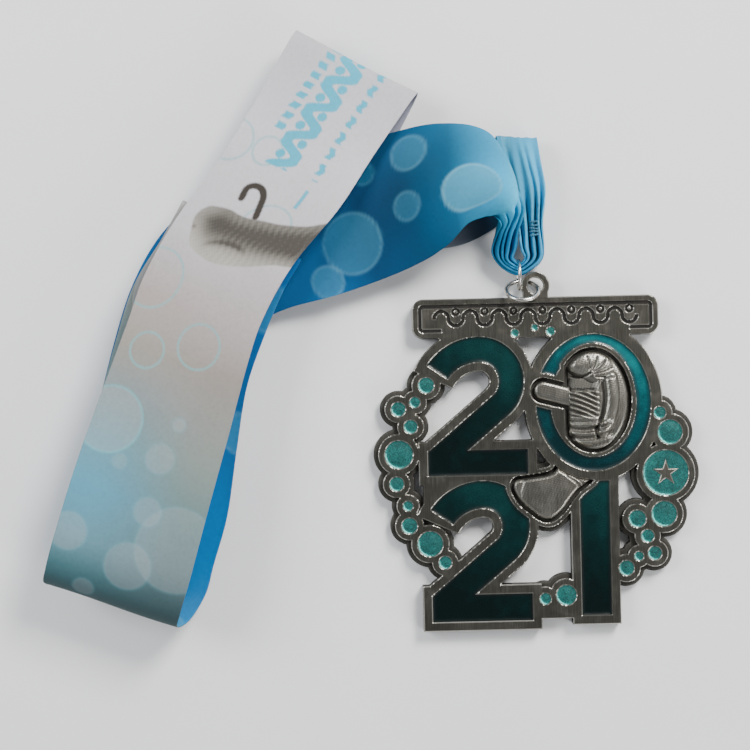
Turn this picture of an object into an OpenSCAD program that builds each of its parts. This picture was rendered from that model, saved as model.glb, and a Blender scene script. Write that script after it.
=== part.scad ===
// Sports finisher medal: an openwork die-cast medal with enamel fills, two jump rings and a neck ribbon.
// The medal lies flat: X to the right, Y towards the hanging tab, front face towards +Z, back at z = 0.

/* [Casting] */
// Thickness of the raised tier
body_t = 4.4; // [3.8:0.1:6]
// Thickness of the low ledge round the wreath
ledge_t = 2.6; // [2:0.1:2.6]
// Width of the low ledge round the wreath
ledge_w = 1.3; // [0.6:0.1:2]
// Depth of the cells that hold the colour
cell_depth = 1.8; // [1:0.1:2.4]
// Width of the metal border round a numeral
border_w = 2.6; // [2:0.1:3.2]
// Width of the metal rim round a round cell of the wreath
rim_w = 1.9; // [1.4:0.1:2.4]
// How far the numerals' enamel lies below the metal
enamel_drop = 0.7; // [0.3:0.1:1]
// How far the round cells' enamel lies below the metal
bubble_drop = 0.3; // [0.1:0.1:0.6]
// Gap between an enamel fill and its cell
fill_gap = 0.02; // [0.01:0.01:0.05]

/* [Name bar] */
// Length of the bar
bar_w = 67.8; // [60:0.2:72]
// Height of the bar
bar_h = 10.9; // [9:0.1:12]
// Corner radius of the bar
bar_r = 3; // [1:0.5:4.5]
// Distance of the engraved line from the bar's edge
line_inset = 1.7; // [1:0.1:2.4]
// Width of an engraved line
line_w = 0.8; // [0.4:0.1:1]
// Depth of the engraving
engrave_depth = 0.5; // [0.2:0.1:1]
// Length of the gap in the engraved line, where the numerals meet the bar
line_gap = 52; // [46:1:58]
// Number of engraved waves
wave_count = 7; // [5:1:12]

/* [Hanging tab] */
// Diameter of the hole
tab_hole_d = 4.4; // [4:0.1:5]
// Width of the metal round the hole
tab_wall = 1.7; // [1.4:0.1:2]
// Thickness of the tab, flush with the front face
tab_t = 1.4; // [1:0.1:1.8]

/* [Numerals] */
// Stroke of the upper 2
upper_stroke = 6.8; // [5:0.2:8]
// Stroke of the lower 2
lower_stroke = 7.4; // [5:0.2:8]
// Width of the zero's outer oval
zero_w = 31.6; // [30:0.2:33]
// Height of the zero's outer oval
zero_h = 37.6; // [36:0.2:39]
// Width of the zero's coloured band
zero_band = 3.9; // [2.5:0.1:4.5]
// Width of the 1
one_w = 8.1; // [6:0.1:9]
// Height of the 1
one_h = 36.8; // [34:0.2:38]

/* [Relief] */
// Width of the dark groove round the relief
groove_w = 0.9; // [0.5:0.1:1.2]
// Width of the metal rim outside that groove
relief_rim = 1.3; // [0.8:0.1:1.8]
// Height of the relief above its groove
relief_h = 3.4; // [2.4:0.1:4]

/* [Rings] */
// Wire of the medal's jump ring
medal_wire = 1.2; // [1:0.1:1.3]
// Outside diameter of the medal's jump ring
medal_ring_d = 10; // [9.4:0.1:10.6]
// Lean of the medal's jump ring from the table, in degrees
medal_ring_lean = 52; // [48:1:58]
// Wire of the ribbon's jump ring
ribbon_wire = 0.8; // [0.7:0.1:1]
// Outside diameter of the ribbon's jump ring
ribbon_ring_d = 8.8; // [8.4:0.1:9.4]

/* [Ribbon] */
// Width of the ribbon
ribbon_w = 38; // [32:0.5:40]
// Thickness of the flat ribbon
ribbon_t = 0.8; // [0.6:0.1:0.9]

/* [Hidden] */
$fn = 96;

// Round cells: centre x, centre y, radius of the colour
wreath = [
    [-29.6, 21.4, 2.1], [-32.8, 16.8, 1.4], [-37.4, 15.0, 1.9], [-34.1, 10.1, 1.8], [-37.5, 2.5, 3.8],
    [-38.3, -5.6, 1.9], [-35.3, -11.7, 1.3], [-35.0, -17.2, 2.1], [-29.4, -22.3, 3.4], [-25.4, -27.5, 1.7],
    [2.0, -38.1, 1.5], [7.8, -37.2, 2.7], [34.6, 12.5, 1.6], [37.3, 7.1, 3.3], [35.9, -4.1, 6.2],
    [35.2, -15.4, 3.4], [27.8, -16.6, 2.3], [30.5, -21.4, 1.7], [32.4, -26.2, 1.8], [28.0, -26.9, 1.2],
    [24.5, -30.1, 2.0]];
// Small dots under the name bar
dots = [[-4.8, 35.3, 1.0], [0.7, 36.7, 0.8], [5.0, 35.6, 1.1]];
bubbles = concat(wreath, dots);
first_bubble = 6;
dot_rim = 0.9;
// Webs that tie the dots and the last bubbles to the numerals: left, bottom, width, height
webs = [[-26, 34, 52, 3], [-31, -13, 8, 8], [-1.5, -43.6, 14, 4]];

cell_floor = body_t - cell_depth;
bar_centre = [0.9, 39.65];
tab_centre = [1.1, bar_centre[1] + bar_h / 2 + 3.1];
tab_r = tab_hole_d / 2 + tab_wall;
neck_inset = 0.4;
// The bubble in a wave's trough: height above the wave's line, outer and inner radius
wave_bubble = [1.8, 1.1, 0.5];

// Upper 2: centre of the bowl, radius of the bowl, radius of the flat top, hook's end angle
two_bowl = [-14.9, 22.2];
two_bowl_r = 8.8;
two_top_r = 14;
two_hook = 145;
// Degrees that the hook's end moves back for each mm of border
hook_growth = 4;
two_lean = 49;
two_base_y = -0.2;
two_left = -29.5;
two_right = -2;
lower_shift = [0.4, -40];

zero_centre = [16.4, 15.75];
// The zero's border is a little wider than the other numerals'
zero_border = border_w + 0.6;
one_left = 12.1;
one_bottom = -42.8;

relief_left = 9.5;
relief_centre = [16.4, 16.4];
relief_axes = [9.6, 13.6];
flipper_tip = [2.7, 19.3];
flipper_root = [10.5, 17.2];
flipper_r = 2.6;
// Tail fluke, a few points round its outline
tail_outline = [[8, 1], [5, -3.4], [-1.9, -4.8], [-5.3, -5.3], [-6.1, -7.4], [-4.2, -11.1], [-1, -14],
    [1.8, -15.9], [4.4, -16], [7.4, -13.5], [9.2, -11], [11.8, -8], [15.6, -4.8], [16, 0]];

// The relief's mounds: centre, half length, half width and height, turn
mounds = [
    [[18, 15], [9, 13.2, relief_h], 4],
    [[14.5, 25], [6, 5, relief_h], -20],
    [[5.5, 18.5], [6.5, 2.8, relief_h * 0.7], -14],
    [[3, -10], [10, 6.5, relief_h * 0.65], 30]];

medal_ring_r = (medal_ring_d - medal_wire) / 2;
ribbon_ring_r = (ribbon_ring_d - ribbon_wire) / 2;
table_gap = 0.05;
// The medal ring's low side passes under the tab, and the ribbon ring passes under that side
low_side_z = body_t - tab_t - medal_wire / 2 - 0.4;
low_side_y = tab_centre[1] + 1.4;
medal_ring_centre = [
    tab_centre[0] - 3.7,
    low_side_y - medal_ring_r * cos(medal_ring_lean),
    low_side_z + medal_ring_r * sin(medal_ring_lean)];
ribbon_ring_centre = [
    tab_centre[0] - tab_r - ribbon_wire / 2 - 0.2,
    low_side_y + 1.73,
    table_gap + ribbon_wire / 2 + ribbon_ring_r];

// Centreline of the ribbon: x, y, z, direction of its width in degrees, half width, thickness
flat = ribbon_w / 2;
thin = ribbon_t;
at_ring = [ribbon_ring_centre[0], ribbon_ring_centre[1] + 1.5, ribbon_ring_centre[2]];
ribbon_route = [
    // From the ring up and over to the left
    [at_ring[0], at_ring[1], at_ring[2], 90, 1.6, 3.8],
    [-7, 55.3, 5, 15, 2.3, 3.8],
    [-7.3, 58.5, 6, 8, 3.5, 3.6],
    [-6.6, 63, 8.5, 16, 3.2, 3.4],
    [-5.4, 68.5, 12, 45, 4.4, 3],
    [-6.5, 74, 15, 72, 8, 2.2],
    [-10.5, 77.5, 17.5, 83, 11, 1.6],
    [-16.5, 78.3, 18.5, 88, 13, 1.2],
    [-23, 77, 18, 96, 15, thin],
    [-30, 74.5, 16.5, 101, 17, thin],
    [-41, 70.5, 13, 104, 18.5, thin],
    [-58, 65.2, 9, 106, flat, thin],
    [-73, 61.5, 5.6, 110, flat, thin],
    // Turning down to the bottom left, on the table
    [-83, 57, 3.2, 118, flat, thin],
    [-90.5, 49.5, 1.6, 129, flat, thin],
    [-95.5, 39, 0.8, 142, flat, thin],
    [-99, 26, 0.6, 153, flat, thin],
    [-102.5, 12, 0.6, 160, flat, thin],
    [-108, -6, 0.6, 160, flat, thin],
    [-112, -19, 0.6, 160, flat, thin],
    // Folded back on itself, up and down again
    [-113.3, -23, 0.8, 160, flat, thin],
    [-113.8, -24.6, 1.4, 160, flat, thin],
    [-113.1, -22.6, 2, 160, flat, thin],
    [-111.5, -18, 2.1, 160, flat, thin],
    [-107, -4, 2.1, 161, flat, thin],
    [-102, 13, 2.1, 160, flat, thin],
    [-97, 29, 2.6, 158, flat, thin],
    [-91.5, 43, 4.4, 156, flat, thin],
    [-84.5, 56, 7.4, 154, 18, thin],
    [-80, 63, 9, 153, 18, thin],
    [-78.9, 65, 9.8, 153, 18, thin],
    [-80, 62.8, 10.5, 153, 18, thin],
    [-84.5, 55.5, 9.1, 154, 18, thin],
    [-91.5, 42.6, 6, 156, flat, thin],
    [-97.5, 28, 4, 158, flat, thin],
    [-102.5, 11, 3.6, 160, flat, thin],
    [-107.5, -6, 3.6, 161, flat, thin],
    [-111.5, -20, 3.8, 161, flat, thin],
    // The open roll at the bottom, and up the long strand
    [-113.8, -27.5, 5.2, 161, flat, thin],
    [-115.8, -34, 9.5, 161, flat, thin],
    [-116.2, -35.6, 14.5, 161, flat, thin],
    [-114.9, -31.5, 19.6, 161, flat, thin],
    [-111.8, -22, 22, 161, flat, thin],
    [-106, -3, 20.8, 161, 18.6, thin],
    [-100.5, 14, 18.6, 161, 18, thin],
    [-93.5, 35, 16.5, 161, 17, thin],
    [-89, 47, 15.8, 160, 17, thin],
    [-80.8, 61, 15.5, 158, 17, thin],
    [-68, 77, 15, 155, 17.4, thin],
    [-58.3, 92, 13.5, 152, 17.6, thin],
    [-49, 106.5, 11.8, 152, 18.4, thin],
    // Over the top fold and back underneath
    [-46.6, 110, 9, 152, 18.6, thin],
    [-48, 107.5, 5.6, 152, 18.8, thin],
    [-53, 99, 4.2, 149, flat, thin],
    [-58.5, 90, 3.4, 141, flat, thin],
    [-64.5, 80.5, 3.2, 122, 21, thin],
    [-66.5, 77, 2, 114, 22.5, thin],
    [-65, 75, 0.7, 108, 21, thin],
    // Under everything to the right, and down the second leg to the ring
    [-56, 74, 0.6, 97, flat, thin],
    [-43, 74, 0.6, 96, 18, thin],
    [-30, 75, 0.6, 94, 16.5, thin],
    [-19, 75.5, 0.7, 96, 15, thin],
    [-10, 78.5, 0.8, 104, 12.5, 1.2],
    [-5.5, 82, 1.2, 128, 9, 1.6],
    [-3.6, 86, 1.6, 158, 6.5, 2],
    [-3.1, 89, 3.2, 174, 5.6, 1.8],
    [-3, 87, 5.4, 180, 5.5, 2],
    [-2, 81.7, 6, 182, 5.2, 2.4],
    [-0.6, 73.7, 5.6, 187, 4.9, 2.8],
    [-0.1, 65.3, 5, 185, 3.3, 3.2],
    [0.4, 58.8, 4.8, 180, 3.2, 3.6],
    [0.6, 56.2, 4.7, 165, 2.7, 3.6],
    [-0.7, 54.2, 4.6, 125, 1.7, 3.6]];
route_steps = 2;
section_sides = 12;
stitch_start = [1, 62, 6.5];
stitch_count = 5;
stitch_pitch = 0.9;
stitch_d = 0.5;
stitch_length = 3;

module fan(radius, from, to) {
    // A flat wedge that reaches past the radius, from one angle to another, under 180 degrees
    middle = (from + to) / 2;
    reach = radius / cos((to - from) / 2) + 1;
    polygon([[0, 0], reach * [cos(from), sin(from)], reach * [cos(middle), sin(middle)] * 1.2,
        reach * [cos(to), sin(to)]]);
}

module arc_stroke(centre, radius, stroke, from, to) {
    translate(centre) intersection() {
        difference() {
            circle(r = radius + stroke / 2);
            circle(r = radius - stroke / 2);
        }
        fan(radius + stroke, from, to);
    }
}

module numeral_two(stroke, grow) {
    // The figure 2 at the upper place, with every edge moved out by grow
    wide = stroke + 2 * grow;
    turn_end = -two_lean;
    diagonal_start = two_bowl + two_bowl_r * [cos(turn_end), sin(turn_end)];
    top_centre = [two_bowl[0], two_bowl[1] + two_bowl_r - two_top_r];
    arc_stroke(two_bowl, two_bowl_r, wide, turn_end - 1, 91);
    arc_stroke(top_centre, two_top_r, wide, 89, two_hook + grow * hook_growth);
    intersection() {
        translate(diagonal_start) rotate(180 + 90 - two_lean - 1)
            translate([0, -wide / 2]) square([40, wide]);
        translate([two_left - grow, two_base_y - stroke / 2 - grow]) square([40, 40]);
    }
    translate([two_left - grow, two_base_y - stroke / 2 - grow])
        square([two_right - two_left + 2 * grow, wide]);
}

module lower_two(grow) {
    translate(lower_shift) numeral_two(lower_stroke, grow);
}

module oval(width, height) {
    polygon([for (a = [0:4:356]) [cos(a) * width / 2, sin(a) * height / 2]]);
}

module zero_outer(grow) {
    translate(zero_centre) oval(zero_w + 2 * grow, zero_h + 2 * grow);
}

module zero_inner(grow) {
    translate(zero_centre) oval(zero_w - 2 * zero_band + 2 * grow, zero_h - 2 * zero_band + 2 * grow);
}

module numeral_one(grow) {
    translate([one_left - grow, one_bottom - grow]) square([one_w + 2 * grow, one_h + 2 * grow]);
}

// A closed outline whose points move out by grow and are joined by smooth curves
function wrap(list, i) = list[(i + len(list)) % len(list)];
function outward(list, i) = let (along = wrap(list, i + 1) - wrap(list, i - 1))
    [-along[1], along[0]] / norm(along);
function grown(list, grow) = [for (i = [0:len(list) - 1]) list[i] + grow * outward(list, i) * -1];
function curve(a, b, c, d, t) = 0.5 * (2 * b + (c - a) * t + (2 * a - 5 * b + 4 * c - d) * t * t
    + (3 * b - a - 3 * c + d) * t * t * t);
function smooth(list, steps) = [for (i = [0:len(list) - 1]) for (k = [0:steps - 1])
    curve(wrap(list, i - 1), wrap(list, i), wrap(list, i + 1), wrap(list, i + 2), k / steps)];

module tail(grow) {
    polygon(smooth(grown(tail_outline, grow), 4));
}

module flipper(grow) {
    along = flipper_root - flipper_tip;
    translate(flipper_tip) circle(r = flipper_r + grow);
    translate(flipper_tip) rotate(atan2(along[1], along[0]))
        translate([0, -flipper_r - grow]) square([norm(along), 2 * (flipper_r + grow)]);
}

module sea_cow_trunk(grow) {
    intersection() {
        translate(relief_centre) oval(2 * (relief_axes[0] + grow), 2 * (relief_axes[1] + grow));
        translate([relief_left - grow, -20]) square([40, 60]);
    }
}

module sea_cow(grow) {
    // The whole silhouette, with the tail passing under the zero's band
    sea_cow_trunk(grow);
    flipper(grow);
    difference() {
        tail(grow);
        zero_outer(border_w);
    }
}

module round_cells(list, grow) {
    for (cell = list) translate([cell[0], cell[1]]) circle(r = cell[2] + grow);
}

module name_bar(grow) {
    // A bar with round corners, made of two bars and four discs
    r = bar_r + grow;
    w = bar_w / 2 + grow;
    h = bar_h / 2 + grow;
    translate(bar_centre) {
        square([2 * w, 2 * (h - r)], center = true);
        square([2 * (w - r), 2 * h], center = true);
        for (x = [-1, 1], y = [-1, 1]) translate([x * (w - r), y * (h - r)]) circle(r = r);
    }
}

module hanging_tab() {
    translate(tab_centre) circle(r = tab_r);
    translate([tab_centre[0] - tab_r + neck_inset, bar_centre[1]])
        square([2 * (tab_r - neck_inset), tab_centre[1] - bar_centre[1] - 1]);
}

module raised_tier() {
    numeral_two(upper_stroke, border_w);
    lower_two(border_w);
    zero_outer(zero_border);
    numeral_one(border_w);
    name_bar(0);
    round_cells(wreath, rim_w);
    round_cells(dots, dot_rim);
    flipper(groove_w + relief_rim);
    tail(groove_w + relief_rim);
    for (web = webs) translate([web[0], web[1]]) square([web[2], web[3]]);
}

module low_tier() {
    raised_tier();
    round_cells(wreath, rim_w + ledge_w);
    tail(groove_w + relief_rim + ledge_w);
}

module engraving() {
    // A line that follows the bar's edge, and a row of waves in place of lettering
    difference() {
        name_bar(-line_inset);
        name_bar(-line_inset - line_w);
        translate([bar_centre[0] - line_gap / 2, bar_centre[1] - bar_h]) square([line_gap, bar_h]);
    }
    pitch = (bar_w - 12) / wave_count;
    for (i = [0:wave_count - 1])
        translate([bar_centre[0] + pitch * (i - wave_count / 2 + 0.25), bar_centre[1]]) wave(pitch);
}

module wave(pitch) {
    // A hump, the trough after it, and a bubble in the trough
    for (turn = [0, 90]) {
        arc_stroke([0, 0], pitch / 4, line_w, turn - 1, turn + 91);
        arc_stroke([pitch / 2, 0], pitch / 4, line_w, turn + 179, turn + 271);
    }
    translate([pitch / 2, wave_bubble[0]]) difference() {
        circle(r = wave_bubble[1]);
        circle(r = wave_bubble[2]);
    }
}

module enamel_cell_zero(grow) {
    difference() {
        zero_outer(grow);
        zero_inner(-grow);
        flipper(groove_w + relief_rim - grow);
        sea_cow_trunk(groove_w + relief_rim - grow);
    }
}

module enamel_cell_lower_two(grow) {
    difference() {
        lower_two(grow);
        tail(groove_w + relief_rim - grow);
    }
}

module enamel_cell_one(grow) {
    difference() {
        numeral_one(grow);
        tail(groove_w + relief_rim - grow);
    }
}

module enamel_cell_upper_two(grow) {
    difference() {
        numeral_two(upper_stroke, grow);
        flipper(groove_w + relief_rim - grow);
    }
}

module layer(from, to) {
    translate([0, 0, from]) linear_extrude(height = to - from) children();
}

module medal_body() {
    color("#6a665e") difference() {
        union() {
            layer(0, ledge_t) low_tier();
            layer(0, body_t) raised_tier();
            layer(body_t - tab_t, body_t) hanging_tab();
        }
        layer(cell_floor, body_t + 1) enamel_cell_upper_two(0);
        layer(cell_floor, body_t + 1) enamel_cell_zero(0);
        layer(cell_floor, body_t + 1) enamel_cell_lower_two(0);
        layer(cell_floor, body_t + 1) enamel_cell_one(0);
        layer(cell_floor, body_t + 1) round_cells(bubbles, 0);
        layer(cell_floor, body_t + 1) sea_cow(groove_w);
        layer(body_t - engrave_depth, body_t + 1) engraving();
        translate([tab_centre[0], tab_centre[1], -1]) cylinder(d = tab_hole_d, h = body_t + 2);
    }
}

module fill(drop) {
    layer(cell_floor, body_t - drop) children();
}

module enamel_upper_two() {
    color("#0a3d3b") fill(enamel_drop) enamel_cell_upper_two(-fill_gap);
}

module enamel_zero() {
    color("#0f7277") fill(enamel_drop) enamel_cell_zero(-fill_gap);
}

module enamel_lower_two() {
    color("#0a3d3b") fill(enamel_drop) enamel_cell_lower_two(-fill_gap);
}

module enamel_one() {
    color("#0a3d3b") fill(enamel_drop) enamel_cell_one(-fill_gap);
}

module bubble(i) {
    color("#2c8c86") translate([bubbles[i][0], bubbles[i][1], cell_floor])
        cylinder(r = bubbles[i][2] - fill_gap, h = cell_depth - bubble_drop);
}

module dome(centre, axes, turn) {
    // A low oval mound that stands on the cell floor
    translate([centre[0], centre[1], 0]) rotate(turn) scale(axes) sphere(r = 1, $fn = 40);
}

module sea_cow_relief() {
    low = relief_h * 0.4;
    color("#8a8880") translate([0, 0, cell_floor]) {
        layer(0, low) sea_cow(0);
        intersection() {
            union() {
                for (mound = mounds) dome(mound[0], mound[1], mound[2]);
            }
            layer(0, relief_h + 1) sea_cow(-0.1);
        }
    }
}

module medal_ring() {
    color("#c8c6c0") translate(medal_ring_centre) rotate([-medal_ring_lean, 0, 0])
        rotate_extrude() translate([medal_ring_r, 0]) circle(d = medal_wire, $fn = 32);
}

module ribbon_ring() {
    color("#c8c6c0") translate(ribbon_ring_centre) rotate([0, 90, 0])
        rotate_extrude() translate([ribbon_ring_r, 0]) circle(d = ribbon_wire, $fn = 32);
}

// The ribbon's sections stand square to its width, all the way round the closed loop
stations = smooth(ribbon_route, route_steps);
function place(list, i) = let (s = wrap(list, i)) [s[0], s[1], s[2]];
function across(s) = [cos(s[3]), sin(s[3]), 0];
function through(list, i) = let (n = cross(place(list, i + 1) - place(list, i - 1), across(list[i])))
    n / norm(n);
function section(list, i) = [for (k = [0:section_sides - 1])
    let (a = 360 * k / section_sides, s = list[i])
    place(list, i) + across(s) * s[4] * cos(a) + through(list, i) * s[5] / 2 * sin(a)];

module neck_ribbon() {
    count = len(stations);
    points = [for (i = [0:count - 1]) each section(stations, i)];
    faces = [for (i = [0:count - 1]) for (k = [0:section_sides - 1])
        let (j = (i + 1) % count, m = (k + 1) % section_sides)
        [i * section_sides + k, i * section_sides + m, j * section_sides + m, j * section_sides + k]];
    color("#1e86b8") polyhedron(points = points, faces = faces, convexity = 10);
}

module ribbon_stitching() {
    color("#d8dce0") for (i = [0:stitch_count - 1])
        translate(stitch_start + [0, i * stitch_pitch, 0]) rotate([0, 90, 0])
            cylinder(d = stitch_d, h = stitch_length, center = true);
}

medal_body();
sea_cow_relief();
enamel_upper_two();
enamel_zero();
enamel_lower_two();
enamel_one();
for (i = [0:len(bubbles) - 1])
    bubble(i);
medal_ring();
ribbon_ring();
neck_ribbon();
ribbon_stitching();
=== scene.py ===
import math

import bpy
import numpy as np
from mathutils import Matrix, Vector, kdtree


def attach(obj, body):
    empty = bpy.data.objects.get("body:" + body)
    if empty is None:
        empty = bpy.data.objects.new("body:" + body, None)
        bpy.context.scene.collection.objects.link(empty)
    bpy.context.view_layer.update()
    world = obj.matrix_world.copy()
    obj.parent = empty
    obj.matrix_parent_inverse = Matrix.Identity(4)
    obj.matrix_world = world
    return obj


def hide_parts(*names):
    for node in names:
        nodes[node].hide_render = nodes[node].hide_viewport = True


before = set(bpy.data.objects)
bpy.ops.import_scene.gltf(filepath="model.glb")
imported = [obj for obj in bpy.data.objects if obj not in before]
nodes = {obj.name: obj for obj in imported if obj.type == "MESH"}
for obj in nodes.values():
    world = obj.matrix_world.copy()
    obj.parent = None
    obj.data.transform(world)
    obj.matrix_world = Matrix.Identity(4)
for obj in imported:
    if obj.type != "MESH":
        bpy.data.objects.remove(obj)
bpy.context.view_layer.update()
mm = 0.001
farAway = 1e9  # in mm, the start of every smallest distance


# shader maths: an expression on fields adds its own nodes
class Field:
    def __init__(self, shader, socket):
        self.shader = shader
        self.socket = socket

    def math(self, operation, first, second):
        return self.shader.add("Math", {"operation": operation}, {0: first, 1: second})

    def __add__(self, other):
        return self.math("ADD", self, other)

    def __radd__(self, other):
        return self.math("ADD", other, self)

    def __sub__(self, other):
        return self.math("SUBTRACT", self, other)

    def __rsub__(self, other):
        return self.math("SUBTRACT", other, self)

    def __mul__(self, other):
        return self.math("MULTIPLY", self, other)

    def __rmul__(self, other):
        return self.math("MULTIPLY", other, self)

    def clipped(self, low, high):
        return self.math("MINIMUM", self.math("MAXIMUM", self, low), high)


class NodeTree:
    def __init__(self, tree):
        self.tree = tree

    def add(self, kind, settings, sockets, out=0):
        node = self.tree.nodes.new("ShaderNode" + kind)
        for label, value in settings.items():
            if label == "stops":
                self.setStops(node.color_ramp, value)
            else:
                setattr(node, label, value)
        for label, value in sockets.items():
            self.feed(node.inputs[label], value)
        return Field(self, node.outputs[out])

    def setStops(self, ramp, stops):
        while len(ramp.elements) < len(stops):
            ramp.elements.new(0.5)
        for element, (place, colour) in zip(ramp.elements, stops):
            element.position = place
            element.color = (*colour, 1)

    def feed(self, socket, value):
        if isinstance(value, Field):
            self.tree.links.new(value.socket, socket)
        elif isinstance(value, tuple) and socket.type == "RGBA":
            socket.default_value = (*value[:3], 1)
        else:
            socket.default_value = value

    def mixed(self, factor, first, second):
        return self.add("Mix", {"data_type": "RGBA"}, {0: factor, 6: first, 7: second}, 2)

    def ramp(self, factor, stops):
        return self.add("ValToRGB", {"stops": stops}, {0: factor})


class Shader(NodeTree):
    def __init__(self, name, fixed):
        self.material = bpy.data.materials.new(name)
        self.material.use_nodes = True
        super().__init__(self.material.node_tree)
        self.surface = self.tree.nodes["Principled BSDF"]
        for label, value in fixed.items():
            self.surface.inputs[label].default_value = value

    def place(self, scale=(1, 1, 1)):
        spot = self.add("TexCoord", {}, {}, 3)
        return self.add("Mapping", {"vector_type": "POINT"}, {0: spot, 3: scale})

    def noise(self, vector, scale, detail=3, rough=0.55):
        sockets = {"Vector": vector, "Scale": scale, "Detail": detail, "Roughness": rough}
        return self.add("TexNoise", {}, sockets)

    def cells(self, vector, scale, out=0):
        return self.add("TexVoronoi", {}, {"Vector": vector, "Scale": scale}, out)

    def stored(self, name, out=2):
        return self.add("Attribute", {"attribute_name": name}, {}, out)

    def bump(self, height, strength, distance):
        return self.add("Bump", {}, {"Height": height, "Strength": strength, "Distance": distance})

    def finish(self, links):
        for label, value in links.items():
            self.feed(self.surface.inputs[label], value)
        return self.material


# plan shapes in mm: a field is below zero inside the shape
def disc(x, y, spot):
    return np.hypot(x - spot[0], y - spot[1]) - spot[2]


def block(x, y, left, bottom, width, height, corner=0.0):
    across = np.abs(x - left - width / 2) - width / 2 + corner
    up = np.abs(y - bottom - height / 2) - height / 2 + corner
    outside = np.hypot(np.maximum(across, 0), np.maximum(up, 0))
    return outside + np.minimum(np.maximum(across, up), 0) - corner


def oval(x, y, spot, halfWidth, halfHeight):
    u = (x - spot[0]) / halfWidth
    v = (y - spot[1]) / halfHeight
    size = np.maximum(np.hypot(u, v), 1e-6)
    slope = np.maximum(np.hypot(u / halfWidth, v / halfHeight), 1e-6)
    return size * (size - 1) / slope


def arcBand(x, y, spot, radius, half, start, end):
    u = x - spot[0]
    v = y - spot[1]
    a = math.radians(start)
    b = math.radians(end)
    band = np.abs(np.hypot(u, v) - radius) - half
    before = u * math.sin(a) - v * math.cos(a)
    after = v * math.cos(b) - u * math.sin(b)
    return np.maximum(band, np.maximum(before, after))


def bandAlong(x, y, start, angle, length, half):
    a = math.radians(angle)
    along = (x - start[0]) * math.cos(a) + (y - start[1]) * math.sin(a)
    aside = np.abs((y - start[1]) * math.cos(a) - (x - start[0]) * math.sin(a))
    return np.maximum(aside - half, np.maximum(-along, along - length))


def segmentField(x, y, start, end):
    ex = end[0] - start[0]
    ey = end[1] - start[1]
    t = np.clip(((x - start[0]) * ex + (y - start[1]) * ey) / (ex * ex + ey * ey), 0, 1)
    return np.hypot(x - start[0] - t * ex, y - start[1] - t * ey)


def outlineField(x, y, corners):
    best = np.full(x.shape, farAway)
    inside = np.zeros(x.shape, bool)
    for start, end in zip(corners, np.roll(corners, -1, axis=0)):
        best = np.minimum(best, segmentField(x, y, start, end))
        if start[1] != end[1]:
            crosses = (y < start[1]) != (y < end[1])
            share = (y - start[1]) / (end[1] - start[1])
            inside ^= crosses & (x < start[0] + share * (end[0] - start[0]))
    return np.where(inside, -best, best)


def strokeField(x, y, points):
    best = np.full(x.shape, farAway)
    for start, end in zip(points[:-1], points[1:]):
        best = np.minimum(best, segmentField(x, y, start, end))
    return best


def throughPoints(points, steps, closed=True):
    # a smooth curve through a few points of any dimension
    p = np.array(points, float)
    if not closed:
        p = np.vstack([2 * p[0] - p[1], p, 2 * p[-1] - p[-2]])
    a, b, c, d = (np.roll(p, shift, axis=0) for shift in (1, 0, -1, -2))
    if not closed:
        a, b, c, d = p[:-3], p[1:-2], p[2:-1], p[3:]
    t = (np.arange(steps) / steps)[None, :, None]
    a, b, c, d = (part[:, None, :] for part in (a, b, c, d))
    square = (2 * a - 5 * b + 4 * c - d) * t ** 2
    cube = (3 * b - a - 3 * c + d) * t ** 3
    line = 0.5 * (2 * b + (c - a) * t + square + cube)
    line = line.reshape(-1, p.shape[1])
    return line if closed else np.vstack([line, p[-2]])


def ease(value, low, high):
    t = np.clip((value - low) / (high - low), 0, 1)
    return t * t * (3 - 2 * t)


# meshes
def addPiece(name, points, faces, material, sharp=38, values=None, colours=None):
    mesh = bpy.data.meshes.new(name)
    mesh.from_pydata((np.asarray(points) * mm).tolist(), [], faces)
    mesh.materials.append(material)
    for label, numbers in (values or {}).items():
        layer = mesh.attributes.new(label, "FLOAT", "POINT")
        layer.data.foreach_set("value", np.asarray(numbers, np.float32))
    for label, numbers in (colours or {}).items():
        layer = mesh.attributes.new(label, "FLOAT_COLOR", "POINT")
        layer.data.foreach_set("color", np.c_[numbers, np.ones(len(numbers))].astype(np.float32).ravel())
    mesh.polygons.foreach_set("use_smooth", np.ones(len(mesh.polygons), bool))
    mesh.set_sharp_from_angle(angle=math.radians(sharp))
    mesh.update()
    piece = bpy.data.objects.new(name, mesh)
    bpy.context.collection.objects.link(piece)
    return piece


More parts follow.
